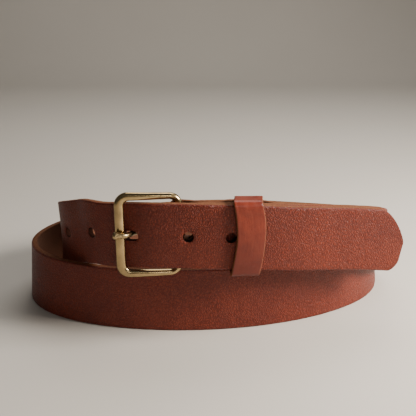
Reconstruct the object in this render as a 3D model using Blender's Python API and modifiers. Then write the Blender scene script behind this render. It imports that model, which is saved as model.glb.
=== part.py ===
"""A gentleman's dress belt, fastened and coiled in two turns, standing on its lower edge.

Millimetres in the numbers below, metres in the scene. +X is to the right, +Y away from
the front, +Z up, and the coil rests on z = 0 with its middle over the origin. The strap is
built flat, cut flat, and then bent along its path, as leather is.
"""

import math

import bmesh
import bpy
import numpy as np
from mathutils import Matrix, Vector

MM = 0.001
MIDDLE = np.array([2.15, -6.37, 0.0])  # middle of the whole belt in the drawing's numbers below

# Strap.
WIDTH = 35.0
THICK = 3.4
SKIVED = 2.2  # where the leather is thinned to fold round the heel bar
BEVEL = 0.75
TIP_LENGTH = 11.5
TIP_SKEW = 0.36
FACE_ROW = 5.0  # rows of points this far from the middle keep the faces round the holes small

# The coil follows an oval, turned a little, at an offset and height that change on the way round.
OVAL_A = 102.5
OVAL_B = 55.2
OVAL_TURN = math.radians(6.1)

# The front of the strap lies on an arc. Depths below are measured in from its outer face.
ARC_X = -5.5
ARC_Y = 69.4
ARC_R = 138.0

# Free end and front of the outer layer: x, y, height of lower edge, from the tip to the left.
OUTER_FRONT = (
    (106.4, -40.2, 27.4),
    (88.0, -45.9, 30.9),
    (66.0, -52.8, 34.2),
    (44.0, -59.3, 36.8),
    (22.0, -64.2, 39.5),
    (0.0, -66.8, 40.9),
    (-15.7, -66.5, 41.2),
    (-30.4, -64.7, 40.7),
    (-41.4, -60.8, 39.5),
    (-52.0, -56.5, 38.1),
    (-60.1, -50.8, 37.2),
    (-66.2, -43.3, 34.5),
    (-73.5, -35.4, 31.0),
    (-79.5, -27.2, 27.6),
)
# Round the oval, clockwise from the left: degrees, offset outward, height of lower edge, lean.
ROUND_THE_OVAL = (
    (-163, -17.2, 23.2, 2),
    (-182, -22.0, 18.8, 1),
    (-202, -19.4, 13.8, 1),
    (-225, -12.9, 7.2, 1),
    (-250, -7.0, 2.0, 1),
    (-270, -4.8, 0.0, 0),
    (-292, -4.6, 0.0, 0),
    (-315, -4.4, 0.0, -1),
    (-340, -2.4, 0.0, -4),
    (-360, 0.0, 0.0, -5),
    (-380, 0.0, 0.0, -5),
    (-405, 0.0, 0.0, -4),
    (-430, 0.0, 0.0, -4),
    (-450, 0.0, 0.0, -4),
    (-475, 0.4, 0.0, -3),
    (-500, 1.6, 0.0, -2),
    (-520, 1.7, 0.0, -3),
    (-540, 0.7, 0.0, -5),
    (-560, 0.0, 0.0, -5),
    (-585, 0.0, 0.0, -3),
    (-610, 0.0, 0.0, -1),
    (-630, 0.0, 0.0, 0),
    (-652, 0.2, 0.0, -1),
    (-675, 1.2, 0.9, -3),
    (-698, 3.0, 3.8, -5),
    (-720, 4.3, 8.4, -5),
    (-738, 6.0, 16.0, -3),
    (-753, 7.9, 24.0, -1),
)
# Inner front layer: distance along the arc, depth of mid-thickness, height of lower edge.
INNER_FRONT = (
    (72.0, 6.9, 32.2),
    (62.0, 6.4, 34.1),
    (52.0, 6.3, 35.8),
    (40.5, 6.3, 37.3),
    (27.6, 6.3, 38.7),
    (14.7, 6.3, 39.6),
    (3.7, 6.1, 40.0),
    (-3.7, 5.3, 40.0),
    (-7.4, 4.95, 39.9),
)
HEEL_AT = -9.2
HEEL_DEPTH = 8.15
HEEL_R = 1.9
FOLD_R = 3.25
# Flap behind the inner layer: distance along the arc, depth of mid-thickness.
FLAP = (
    (-9.2, 11.4),
    (1.8, 9.5),
    (11.0, 9.5),
    (19.8, 12.1),
    (36.4, 12.1),
    (45.6, 9.5),
    (60.0, 9.5),
)
SKIVE_FROM = 14.0
SKIVE_TO = 3.7

# Holes.
HOLE_R = 2.65
HOLES_AT = (-49.8, -24.4, 29.4, 51.0)  # from the tongue's hole towards the tip, unevenly punched
TONGUE_HOLE_X = -38.0
TONGUE_HOLE_LENGTH = 7.9
SLOT_HEIGHT = 5.2
SLOT_PAST_HEEL = 7.4
SCREWS_AT = (6.4, 50.9)
SCREW_HOLE_R = 2.3

# The free end bends away at this distance along the arc.
BEND_AT = 49.3
BUTT_GAP = 0.3

# Buckle.
BUCKLE_Z = 58.0
FRONT_BAR = (-43.9, -64.4)
BAR_WIDE = 5.0
BAR_DEEP = 3.7
SIDE_THICK = 4.6
SIDE_TAPER = 1.4
FRAME_HEIGHT = 46.6
FRAME_CORNER = 5.0
FRAME_BOW = 0.4
FRAME_FACETS = 16
SIDE_SQUARENESS = 0.9  # 1 is an ellipse, and less is squarer
FRAME_DROP = 0.8  # the heel end hangs a little lower than the front bar
TONGUE_R = 1.45
TONGUE_END_R = 1.95
TONGUE_RING_R = 2.15
TONGUE_RING_OUT = 2.8
TONGUE_RING_HALF = 1.75
RING_BEVEL = 0.35

# Keeper.
KEEPER_AT = 27.8
KEEPER_WIDE = 15.0
KEEPER_THICK = 1.7
KEEPER_FRONT = -1.35
KEEPER_BACK = 9.4
KEEPER_ABOVE = 1.95
KEEPER_BELOW = 2.6
KEEPER_CORNER = 3.0
KEEPER_TILT = math.radians(3.5)  # it follows the strap, which slopes down towards the tip
INNER_DROP = 0.8  # the inner layer lies this much lower than the outer one

KEEPER_FACETS = 6  # of each rounded corner

# Staple, in the keeper's back.
STAPLE_REACH = 3.2
STAPLE_HALF = 0.35
STAPLE_GAP = 0.1
STAPLE_LEG = 1.4
STAPLE_CROWN = 0.6

# Posts and screws that close the fold: distances are behind the outer layer's face.
HEAD_R = 3.8
HEAD_BEVEL = 0.3
POST_FROM = 3.75
POST_HEAD_TO = 4.4
POST_R = 2.05
POST_TO = 10.2
BORE_R = 1.5
BORE_FROM = 5.6
SHANK_R = 1.25
SHANK_BEVEL = 0.15
SHANK_FROM = 6.6
SCREW_HEAD_FROM = 10.9
SCREW_TO = 11.6
DRIVER_SLOT = 1.0
DRIVER_DEPTH = 0.4

LEATHER = (0.19, 0.05, 0.03)
BRASS = (0.45, 0.33, 0.18)


def clear_scene():
    for obj in list(bpy.data.objects):
        bpy.data.objects.remove(obj)


def collection(name, hidden=False):
    made = bpy.data.collections.new(name)
    bpy.context.scene.collection.children.link(made)
    made.hide_render = hidden
    return made


def material(name, colour, metallic, roughness):
    made = bpy.data.materials.new(name)
    made.use_nodes = True
    shader = made.node_tree.nodes["Principled BSDF"]
    shader.inputs["Base Color"].default_value = (*colour, 1.0)
    shader.inputs["Metallic"].default_value = metallic
    shader.inputs["Roughness"].default_value = roughness
    return made


# ---------------------------------------------------------------- path of the strap


def on_oval(degrees, out):
    """Plan point at this eccentric angle of the oval, moved outward."""
    angle = math.radians(degrees)
    point = np.array([OVAL_A * math.cos(angle), OVAL_B * math.sin(angle)])
    normal = np.array([math.cos(angle) / OVAL_A, math.sin(angle) / OVAL_B])
    point = point + normal / np.linalg.norm(normal) * out
    c, s = math.cos(OVAL_TURN), math.sin(OVAL_TURN)
    return c * point[0] - s * point[1], s * point[0] + c * point[1]


def on_arc(along, depth):
    """Plan point at this distance along the front arc and this depth behind its face."""
    angle = along / ARC_R
    radius = ARC_R - depth
    return ARC_X + radius * math.sin(angle), ARC_Y - radius * math.cos(angle)


def cubic(knots, values, at):
    """Natural cubic spline through the values."""
    count = len(knots)
    step = np.diff(knots)
    rows = np.zeros((count, count))
    right = np.zeros_like(values)
    rows[0, 0] = rows[-1, -1] = 1.0
    for i in range(1, count - 1):
        rows[i, i - 1 : i + 2] = step[i - 1], 2 * (step[i - 1] + step[i]), step[i]
        right[i] = 6 * ((values[i + 1] - values[i]) / step[i] - (values[i] - values[i - 1]) / step[i - 1])
    bend = np.linalg.solve(rows, right)
    i = np.clip(np.searchsorted(knots, at) - 1, 0, count - 2)
    h = step[i][:, None]
    t = (at - knots[i])[:, None]
    slope = (values[i + 1] - values[i]) / h - h * (2 * bend[i] + bend[i + 1]) / 6
    return values[i] + slope * t + bend[i] / 2 * t**2 + (bend[i + 1] - bend[i]) / (6 * h) * t**3


def eased(table, at):
    """Piecewise value through the table, level at each entry."""
    table = sorted(table)
    if at <= table[0][0]:
        return table[0][1]
    for (a, va), (b, vb) in zip(table, table[1:]):
        if at <= b:
            share = (at - a) / (b - a)
            return va + (vb - va) * share * share * (3 - 2 * share)
    return table[-1][1]


def coil_points():
    """Mid-thickness points of the strap from the tip to the heel bar: x, y, z of mid-width, lean."""
    stations = [(x, y, low, 0.0) for x, y, low in OUTER_FRONT]
    stations += [(*on_oval(deg, out), low, lean) for deg, out, low, lean in ROUND_THE_OVAL]
    stations += [(*on_arc(along, depth), low, 0.0) for along, depth, low in INNER_FRONT]
    stations.append((*on_arc(HEEL_AT, HEEL_DEPTH - FOLD_R), INNER_FRONT[-1][2], 0.0))
    stations = np.array(stations, float)
    knots = np.r_[0, np.cumsum(np.linalg.norm(np.diff(stations[:, :2], axis=0), axis=1))]
    return cubic(knots, stations, np.linspace(0, knots[-1], 1400))


def fold_points():
    """The fold round the heel bar and the flap behind it."""
    low = INNER_FRONT[-1][2]
    heights = sorted((along, height) for along, _, height in INNER_FRONT)
    points = []
    for step in range(1, 40):
        angle = math.pi * step / 40
        along = HEEL_AT - FOLD_R * math.sin(angle) * ARC_R / (ARC_R - HEEL_DEPTH)
        points.append((*on_arc(along, HEEL_DEPTH - FOLD_R * math.cos(angle)), low, 0.0))
    for along in np.linspace(HEEL_AT, FLAP[-1][0], 140):
        height = np.interp(along, [a for a, _ in heights], [z for _, z in heights])
        points.append((*on_arc(along, eased(FLAP, along)), height, 0.0))
    return np.array(points)


def build_path():
    """Arrays for the whole strap: length, mid-point, outward and up directions, thickness."""
    coil = coil_points()
    points = np.vstack([coil, fold_points()])
    points[:, 2] = np.maximum(points[:, 2], 0) + WIDTH / 2
    middle = points[:, :3]
    length = np.r_[0, np.cumsum(np.linalg.norm(np.diff(middle, axis=0), axis=1))]
    ahead = np.gradient(middle, length, axis=0)
    ahead /= np.linalg.norm(ahead, axis=1)[:, None]
    out = np.cross([0, 0, 1], ahead)
    out /= np.linalg.norm(out, axis=1)[:, None]
    up = np.cross(ahead, out) + out * np.tan(np.radians(points[:, 3]))[:, None]
    heel = length[len(coil) - 1]
    thick = np.interp(length, [heel - SKIVE_FROM, heel - SKIVE_TO], [THICK, SKIVED])
    return {"length": length, "middle": middle, "out": out, "up": up, "thick": thick, "heel": heel}


PATH = build_path()


def at_length(name, length):
    values = PATH[name]
    return np.stack([np.interp(length, PATH["length"], values[:, i]) for i in range(3)], -1)


def bent(flat):
    """Points (length, height, share of thickness x THICK) of the flat strap, put on the path."""
    length, up, out = flat[:, 0], flat[:, 1], flat[:, 2]
    share = np.interp(length, PATH["length"], PATH["thick"]) / THICK
    return (
        at_length("middle", length)
        + at_length("up", length) * up[:, None]
        + at_length("out", length) * (out * share)[:, None]
    )


def length_where(value, values, first, last):
    """Length at which a quantity that rises or falls between two lengths takes a value."""
    inside = (PATH["length"] >= first) & (PATH["length"] <= last)
    lengths, values = PATH["length"][inside], values[inside]
    order = np.argsort(values)
    return float(np.interp(value, values[order], lengths[order]))


def along_arc():
    x, y = PATH["middle"][:, 0], PATH["middle"][:, 1]
    return np.arctan2(x - ARC_X, ARC_Y - y) * ARC_R


END = float(PATH["length"][-1])
HEEL = PATH["heel"]
FLAP_START = HEEL + math.pi * FOLD_R
BEND_LENGTH = length_where(BEND_AT, along_arc(), 0, 200)
TONGUE_HOLE = length_where(TONGUE_HOLE_X, PATH["middle"][:, 0], 0, 200)


# ---------------------------------------------------------------- meshes


def mesh_object(name, points, faces, home, look, origin=(0, 0, 0)):
    """Object from points in millimetres, with its origin at the given point."""
    mesh = bpy.data.meshes.new(name)
    origin = np.array(origin, float)
    mesh.from_pydata([tuple((np.array(p) - origin) * MM) for p in points], [], faces)
    obj = bpy.data.objects.new(name, mesh)
    obj.location = tuple((origin - MIDDLE) * MM)
    home.objects.link(obj)
    face_out(mesh)
    if look:
        mesh.materials.append(look)
    for polygon in mesh.polygons:
        polygon.use_smooth = True
    return obj


def face_out(mesh):
    work = bmesh.new()
    work.from_mesh(mesh)
    bmesh.ops.recalc_face_normals(work, faces=work.faces)
    turn_out(work)
    work.to_mesh(mesh)
    work.free()


def turn_out(work):
    """Reverses every face if the closed mesh is inside out."""
    if work.calc_volume(signed=True) < 0:
        bmesh.ops.reverse_faces(work, faces=work.faces)


def swept(sections, closed=False):
    """Points and faces of a tube through sections that each hold the same number of points."""
    rows, count = len(sections), len(sections[0])
    points = [p for section in sections for p in section]
    faces = []
    for row in range(rows if closed else rows - 1):
        here, there = row * count, (row + 1) % rows * count
        for i in range(count):
            j = (i + 1) % count
            faces.append((here + i, here + j, there + j, there + i))
    if not closed:
        faces.append(tuple(range(count)))
        faces.append(tuple(range((rows - 1) * count, rows * count)))
    return points, faces


def put(obj, base, turn=None):
    """Places an object at a point of the drawing, turned by a rotation."""
    obj.location = tuple((np.array(base, float) - MIDDLE) * MM)
    if turn:
        obj.rotation_euler = turn.to_euler()
    return obj


def turned(name, profile, base, axis, home, look, closed=False):
    """A profile of (radius, distance) turned about an axis through the base."""
    edges = [(i, i + 1) for i in range(len(profile) - 1)]
    if closed:
        edges.append((len(profile) - 1, 0))
    mesh = bpy.data.meshes.new(name)
    mesh.from_pydata([(radius * MM, 0.0, along * MM) for radius, along in profile], edges, [])
    mesh.materials.append(look)
    obj = bpy.data.objects.new(name, mesh)
    home.objects.link(obj)
    screw = obj.modifiers.new("turn", "SCREW")
    screw.steps = screw.render_steps = 32
    screw.use_merge_vertices = True
    screw.merge_threshold = 0.00001
    screw.use_normal_flip = True
    return put(obj, base, Vector(axis).to_track_quat("Z", "Y"))


def mesh_from_curve(name, curve, home):
    """Mesh object drawn from a curve, with the seams between its walls and caps closed."""
    drawn = bpy.data.objects.new(name + "_curve", curve)
    home.objects.link(drawn)
    bpy.context.view_layer.update()
    graph = bpy.context.evaluated_depsgraph_get()
    mesh = bpy.data.meshes.new_from_object(drawn.evaluated_get(graph))
    bpy.data.objects.remove(drawn)
    work = bmesh.new()
    work.from_mesh(mesh)
    bmesh.ops.remove_doubles(work, verts=work.verts, dist=1e-6)
    bmesh.ops.recalc_face_normals(work, faces=work.faces)
    turn_out(work)
    work.to_mesh(mesh)
    work.free()
    mesh.shade_flat()
    obj = bpy.data.objects.new(name, mesh)
    home.objects.link(obj)
    return obj


def flat_shape(name, outlines, half_depth, home):
    """Solid with closed flat outlines, as deep on each side of their plane as half_depth."""
    curve = bpy.data.curves.new(name, "CURVE")
    curve.dimensions = "2D"
    curve.fill_mode = "BOTH"
    curve.extrude = half_depth * MM
    for outline in outlines:
        spline = curve.splines.new("POLY")
        spline.points.add(len(outline) - 1)
        for point, (x, y) in zip(spline.points, outline):
            point.co = (x * MM, y * MM, 0.0, 1.0)
        spline.use_cyclic_u = True
    return mesh_from_curve(name, curve, home)


def rod(name, line, home):
    """Closed round rod along a line of (x, y, z, radius)."""
    curve = bpy.data.curves.new(name, "CURVE")
    curve.dimensions = "3D"
    curve.bevel_depth = MM
    curve.bevel_resolution = 6
    curve.use_fill_caps = True
    spline = curve.splines.new("POLY")
    spline.points.add(len(line) - 1)
    for point, (x, y, z, radius) in zip(spline.points, line):
        point.co = (x * MM, y * MM, z * MM, 1.0)
        point.radius = radius
    return mesh_from_curve(name, curve, home)


def slot_outline(centre, length, height, steps=12):
    """Outline of a slot with round ends; a length equal to the height gives a circle."""
    radius = height / 2
    reach = (length - height) / 2
    count = steps + 1 if reach > 0 else steps
    outline = []
    for side in (1, -1):
        for i in range(count):
            angle = math.pi * (i / steps - 0.5)
            across = reach + radius * math.cos(angle)
            outline.append((centre[0] + side * across, centre[1] + side * radius * math.sin(angle)))
    return outline


def boolean(target, other, operation):
    """Cuts another solid from the target, or joins it on, and hides it."""
    modifier = target.modifiers.new(operation.lower(), "BOOLEAN")
    modifier.operation = operation
    modifier.solver = "EXACT"
    modifier.object = other
    other.hide_render = True


# ---------------------------------------------------------------- strap


def tip_half_width(from_apex):
    if from_apex >= TIP_LENGTH:
        return WIDTH / 2
    return WIDTH / 2 * (1 - (1 - from_apex / TIP_LENGTH) ** 1.7) ** 0.6


def strap_section(length):
    """Cross-section of the flat strap: a rectangle with its long corners bevelled."""
    half = tip_half_width(length)
    skew = TIP_SKEW * min(1.0, max(0.0, 1 - (length - TIP_LENGTH) / 42))
    t = THICK / 2
    row = min(FACE_ROW, half * 0.5)
    shape = (
        (half - BEVEL, t),
        (half, t - BEVEL),
        (half, BEVEL - t),
        (half - BEVEL, -t),
        (row, -t),
        (-row, -t),
        (BEVEL - half, -t),
        (-half, BEVEL - t),
        (-half, t - BEVEL),
        (BEVEL - half, t),
        (-row, t),
        (row, t),
    )
    return [(length + skew * up, up, out) for up, out in shape]


def strap_rows(first, last):
    """Lengths of the cross-sections, closer together where the strap bends more."""
    ahead = np.gradient(PATH["middle"], PATH["length"], axis=0)
    turn = np.linalg.norm(np.gradient(ahead, PATH["length"], axis=0), axis=1)
    need = np.maximum(turn / math.radians(5.5), 1 / 9.0)
    need = np.where(PATH["length"] > HEEL - 3, np.maximum(need / 2.5, 1 / 6.0), need)
    count = np.r_[0, np.cumsum(need[1:] * np.diff(PATH["length"]))]
    start, stop = np.interp([first, last], PATH["length"], count)
    return list(np.interp(np.linspace(start, stop, int(stop - start) + 2), count, PATH["length"]))


def cut_flat(name, rows, punches, home, helpers, look, origin=(0, 0, 0)):
    """Builds a length of strap flat, punches it, bends it and returns the object."""
    points, faces = swept([strap_section(row) for row in rows])
    flat = mesh_object(name + "_flat", points, faces, helpers, None)
    if punches:
        punch = put(flat_shape(name + "_punch", punches, THICK, helpers), (0, 0, 0))
        boolean(flat, punch, "DIFFERENCE")
    bpy.context.view_layer.update()
    graph = bpy.context.evaluated_depsgraph_get()
    mesh = bpy.data.meshes.new_from_object(flat.evaluated_get(graph))
    work = bmesh.new()
    work.from_mesh(mesh)
    bmesh.ops.remove_doubles(work, verts=work.verts, dist=1e-7)
    bmesh.ops.triangulate(work, faces=[f for f in work.faces if len(f.verts) > 4])
    spots = np.array([v.co[:] for v in work.verts]) / MM
    for vert, spot in zip(work.verts, (bent(spots) - np.array(origin)) * MM):
        vert.co = spot
    turn_out(work)
    work.to_mesh(mesh)
    work.free()
    bpy.data.objects.remove(flat)
    mesh.materials.clear()
    mesh.materials.append(look)
    obj = bpy.data.objects.new(name, mesh)
    home.objects.link(obj)
    return put(obj, origin)


def strap_punches():
    """Outlines of the adjustment holes, the tongue slot in the fold and the screw holes in both layers."""
    punches = [slot_outline((TONGUE_HOLE, 0), TONGUE_HOLE_LENGTH, 2 * HOLE_R)]
    for step in HOLES_AT:
        punches.append(slot_outline((TONGUE_HOLE - step, 0), 2 * HOLE_R, 2 * HOLE_R))
    slot = math.pi * FOLD_R + 2 * SLOT_PAST_HEEL
    middle = HEEL + math.pi * FOLD_R / 2
    rise = BUCKLE_Z - (INNER_FRONT[-1][2] + WIDTH / 2)
    punches.append(slot_outline((middle, rise), slot, SLOT_HEIGHT))
    for spot in SCREWS_AT:
        for first, last in ((HEEL - 90, HEEL), (FLAP_START, END)):
            centre = length_where(spot, along_arc(), first, last)
            height = screw_height(spot) - at_length("middle", np.array([centre]))[0, 2]
            punches.append(slot_outline((centre, height), 2 * SCREW_HOLE_R, 2 * SCREW_HOLE_R))
    return punches


def screw_height(spot):
    return front_height(spot) + WIDTH / 2


def bend_axis():
    """Upright line at the outer face where the free end starts to bend."""
    where = np.array([BEND_LENGTH])
    return (at_length("middle", where) + at_length("out", where) * THICK / 2)[0]


def build_strap(home, helpers, look):
    half_gap = BUTT_GAP / 2
    rows = strap_rows(BEND_LENGTH + half_gap, END)
    cut_flat("strap", rows, strap_punches(), home, helpers, look)
    tip_rows = [0.3, 0.8, 1.6, 2.8, 4.4, 6.4, 8.6, 10.4]
    rows = tip_rows + strap_rows(TIP_LENGTH, BEND_LENGTH - half_gap)
    cut_flat("strap_tail", rows, [], home, helpers, look, bend_axis())


# ---------------------------------------------------------------- buckle


def heel_point():
    x, y = on_arc(HEEL_AT, HEEL_DEPTH)
    return np.array([x, y, BUCKLE_Z])


def frame_outline(span):
    """Centre line of the frame in its own plane, clockwise from the front bar's top: (x, up)."""
    top = FRAME_HEIGHT / 2 - SIDE_THICK / 2
    near, far = FRAME_CORNER, span - FRAME_CORNER
    high = top - FRAME_CORNER
    path = []
    for x, y, first in ((near, high, 180), (far, high, 90), (far, -high, 0), (near, -high, -90)):
        for i in range(9):
            angle = math.radians(first - 90 * i / 8)
            path.append((x + FRAME_CORNER * math.cos(angle), y + FRAME_CORNER * math.sin(angle)))
        if first in (180, 0):
            end = near + far - x
            path += [(x + (end - x) * i / 6, path[-1][1]) for i in range(1, 6)]
    return path


def frame_section_size(x, span):
    """Section across and deep: broad at the front bar, round at the heel."""
    share = min(max(x / span, 0), 1)
    side = min(x / FRAME_CORNER, 1) if x < span / 2 else min((span - x) / FRAME_CORNER, 1)
    side = max(side, 0)
    end_size = BAR_WIDE if share < 0.5 else 2 * HEEL_R
    across = end_size + (SIDE_THICK - SIDE_TAPER * share - end_size) * side
    deep = BAR_DEEP + (2 * HEEL_R - BAR_DEEP) * share
    return across, deep


def build_frame(home, look):
    """The cast ring, swept as a loft because its section changes all the way round."""
    heel = heel_point()
    front = np.array([*FRONT_BAR, BUCKLE_Z])
    span = math.hypot(*(heel - front)[:2])
    path = frame_outline(span)
    ahead = (heel - front) / span
    depth = np.array([-ahead[1], ahead[0], 0.0])
    up = np.array([0.0, 0.0, 1.0])
    sections = []
    for i, (x, y) in enumerate(path):
        along = np.subtract(path[(i + 1) % len(path)], path[i - 1])
        along /= np.linalg.norm(along)
        across, deep = frame_section_size(x, span)
        squareness = 1.0 if x > span * 0.9 else SIDE_SQUARENESS
        bow = FRAME_BOW * (1 - (2 * x / span - 1) ** 2)
        section = []
        for k in range(FRAME_FACETS):
            angle = 2 * math.pi * (k + 0.5) / FRAME_FACETS
            a = rounded(math.cos(angle), squareness) * across / 2
            d = rounded(math.sin(angle), squareness) * deep / 2
            level = y + along[0] * a - FRAME_DROP * x / span
            spot = front + ahead * (x - along[1] * a) + up * level + depth * (d - bow)
            section.append(tuple(spot))
        sections.append(section)
    points, faces = swept(sections, closed=True)
    return mesh_object("buckle_frame", points, faces, home, look, heel)


def rounded(value, squareness):
    return math.copysign(abs(value) ** squareness, value)


def tongue_line():
    """Plan line of the tongue: behind the strap, up through the hole, over the front bar."""
    heel = heel_point()
    line = (
        (heel[0] - 2.2, heel[1] + 0.1, 0.0, TONGUE_R),
        (-20.3, -60.1, 0.1, TONGUE_R),
        (-26.5, -59.6, 0.2, TONGUE_R),
        (-31.5, -59.1, 0.3, TONGUE_R),
        (-35.0, -59.5, 0.4, TONGUE_R),
        (-37.2, -61.3, 0.5, TONGUE_R),
        (-38.7, -63.7, 0.6, TONGUE_R),
        (-40.1, -66.2, 0.9, TONGUE_R),
        (-42.0, -67.8, 1.3, 1.5),
        (-44.3, -68.4, 1.6, 1.7),
        (-46.2, -68.6, 1.7, TONGUE_END_R),
        (-46.9, -68.6, 1.7, TONGUE_END_R - 0.4),
    )
    line = np.array(line, float)
    knots = np.r_[0, np.cumsum(np.linalg.norm(np.diff(line[:, :2], axis=0), axis=1))]
    return cubic(knots, line, np.r_[np.linspace(0, knots[-2], 34), knots[-1]])


def build_tongue(home, helpers, look):
    """A rod with a ring round the heel bar."""
    heel = heel_point()
    line = [(x - heel[0], y - heel[1], rise, radius) for x, y, rise, radius in tongue_line()]
    half = TONGUE_RING_HALF
    outer = TONGUE_RING_OUT + RING_BEVEL
    profile = (
        (TONGUE_RING_R, -half),
        (TONGUE_RING_OUT, -half),
        (outer, RING_BEVEL - half),
        (outer, half - RING_BEVEL),
        (TONGUE_RING_OUT, half),
        (TONGUE_RING_R, half),
    )
    ring = turned("buckle_tongue", profile, heel, (0, 0, 1), home, look, closed=True)
    boolean(ring, put(rod("tongue_rod", line, helpers), heel), "UNION")


# ---------------------------------------------------------------- keeper and screws


def front_height(along):
    """Height of the inner front layer's lower edge at this distance along the arc."""
    return float(np.interp(along, *zip(*sorted((a, z) for a, _, z in INNER_FRONT))))


def keeper_frame():
    """Origin on the arc's face, and the along, deep and up directions at the keeper."""
    angle = KEEPER_AT / ARC_R
    x, y = on_arc(KEEPER_AT, 0)
    level = np.array([math.cos(angle), math.sin(angle), 0.0])
    upright = np.array([0.0, 0.0, 1.0])
    along = level * math.cos(KEEPER_TILT) - upright * math.sin(KEEPER_TILT)
    up = level * math.sin(KEEPER_TILT) + upright * math.cos(KEEPER_TILT)
    deep = np.array([-math.sin(angle), math.cos(angle), 0.0])
    base = np.array([x, y, front_height(KEEPER_AT) + INNER_DROP])
    return base + (upright - up) * WIDTH / 2, along, deep, up


def rounded_loop(d0, d1, z0, z1, corner):
    """Rectangle with round corners, in the keeper's deep and up directions."""
    loop = []
    centres = (
        (d1 - corner, z1 - corner),
        (d0 + corner, z1 - corner),
        (d0 + corner, z0 + corner),
        (d1 - corner, z0 + corner),
    )
    for quarter, (d, z) in enumerate(centres):
        for i in range(KEEPER_FACETS + 1):
            angle = math.pi / 2 * (quarter + i / KEEPER_FACETS)
            loop.append((d + corner * math.cos(angle), z + corner * math.sin(angle)))
    return loop


def facing(along, deep, up):
    """Turn that lays a flat shape's plane on the deep and up directions."""
    return Matrix((deep, up, along)).transposed().to_quaternion()


def build_keeper(home, helpers, look, steel):
    """A band round both layers of the strap, closed by a staple at its back."""
    base, along, deep, up = keeper_frame()
    turn = facing(along, deep, up)
    t = KEEPER_THICK / 2
    z0, z1 = -KEEPER_BELOW, WIDTH + KEEPER_ABOVE
    inner = rounded_loop(KEEPER_FRONT + t, KEEPER_BACK - t, z0 + t, z1 - t, KEEPER_CORNER - t)
    outer = rounded_loop(KEEPER_FRONT - t, KEEPER_BACK + t, z0 - t, z1 + t, KEEPER_CORNER + t)
    keeper = put(flat_shape("keeper", [outer, inner], KEEPER_WIDE / 2, home), base, turn)
    keeper.data.materials.append(look)
    wire = flat_shape("keeper_staple", [staple_outline(STAPLE_HALF, 0.0)], STAPLE_HALF, home)
    wire.data.materials.append(steel)
    put(wire, base, turn)
    room = STAPLE_HALF + STAPLE_GAP
    groove = flat_shape("staple_groove", [staple_outline(room, STAPLE_GAP)], room, helpers)
    boolean(keeper, put(groove, base, turn), "DIFFERENCE")


def staple_outline(half, extra):
    """A crown on the keeper's back and two legs into the leather."""
    middle = WIDTH / 2 - 0.5
    back = KEEPER_BACK + KEEPER_THICK / 2
    tip = back - STAPLE_LEG - extra
    under = back + 0.08 - extra
    top = back + STAPLE_CROWN
    outer, inner = STAPLE_REACH + half, STAPLE_REACH - half
    outline = (
        (tip, -outer),
        (top, -outer),
        (top, outer),
        (tip, outer),
        (tip, inner),
        (under, inner),
        (under, -inner),
        (tip, -inner),
    )
    return [(d, middle + z) for d, z in outline]


def build_screws(home, helpers, look):
    """Two threaded posts through the fold, each with a slotted screw from behind."""
    post = (
        (0, POST_FROM),
        (HEAD_R - HEAD_BEVEL, POST_FROM),
        (HEAD_R, POST_FROM + HEAD_BEVEL),
        (HEAD_R, POST_HEAD_TO),
        (POST_R, POST_HEAD_TO),
        (POST_R, POST_TO),
        (BORE_R, POST_TO),
        (BORE_R, BORE_FROM),
        (0, BORE_FROM),
    )
    screw = (
        (0, SHANK_FROM),
        (SHANK_R - SHANK_BEVEL, SHANK_FROM),
        (SHANK_R, SHANK_FROM + SHANK_BEVEL),
        (SHANK_R, SCREW_HEAD_FROM),
        (HEAD_R, SCREW_HEAD_FROM),
        (HEAD_R, SCREW_TO - HEAD_BEVEL),
        (HEAD_R - HEAD_BEVEL, SCREW_TO),
        (0, SCREW_TO),
    )
    bottom, top, end = SCREW_TO - DRIVER_DEPTH, SCREW_TO + 1, HEAD_R + 1
    driver = [(bottom, -end), (top, -end), (top, end), (bottom, end)]
    for number, spot in enumerate(SCREWS_AT, 1):
        angle = spot / ARC_R
        base = (*on_arc(spot, 0), screw_height(spot))
        deep = Vector((-math.sin(angle), math.cos(angle), 0))
        along = Vector((math.cos(angle), math.sin(angle), 0))
        turned(f"screw_post_{number}", post, base, deep, home, look)
        made = turned(f"screw_{number}", screw, base, deep, home, look)
        slot = flat_shape(f"driver_slot_{number}", [driver], DRIVER_SLOT / 2, helpers)
        put(slot, base, facing(along, deep, Vector((0, 0, 1))))
        boolean(made, slot, "DIFFERENCE")


def main():
    clear_scene()
    home = collection("leather_belt")
    helpers = collection("cutters", hidden=True)
    leather = material("leather_brown", LEATHER, 0.0, 0.5)
    build_strap(home, helpers, leather)
    build_frame(home, material("brass_frame", BRASS, 1.0, 0.3))
    build_tongue(home, helpers, material("brass_tongue", BRASS, 1.0, 0.35))
    band = material("leather_keeper", LEATHER, 0.0, 0.45)
    build_keeper(home, helpers, band, material("steel_wire", (0.5, 0.5, 0.5), 1.0, 0.4))
    build_screws(home, helpers, material("brass_screw", BRASS, 1.0, 0.4))


main()
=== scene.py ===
"""Looks for the coiled leather belt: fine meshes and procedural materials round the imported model.

Millimetres in the numbers below, metres in the scene. The strap is made flat, cut flat and
bent along the same path as the model's, so that each layer keeps its place.
"""

import math

import bmesh
import bpy
import numpy as np
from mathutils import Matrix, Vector, noise


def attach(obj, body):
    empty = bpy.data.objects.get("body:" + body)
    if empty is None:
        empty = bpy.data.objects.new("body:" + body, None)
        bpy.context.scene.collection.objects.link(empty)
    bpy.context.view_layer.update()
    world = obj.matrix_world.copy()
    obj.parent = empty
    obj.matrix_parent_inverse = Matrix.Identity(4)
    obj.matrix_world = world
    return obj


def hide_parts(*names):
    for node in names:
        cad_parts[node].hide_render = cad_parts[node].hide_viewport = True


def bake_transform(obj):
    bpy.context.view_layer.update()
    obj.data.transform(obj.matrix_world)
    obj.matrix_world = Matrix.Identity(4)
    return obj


MM = 0.001
MIDDLE = np.array([2.15, -6.37, 0.0])  # middle of the whole belt in the drawing's numbers below

# ---------------------------------------------------------------- driving dimensions

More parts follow.
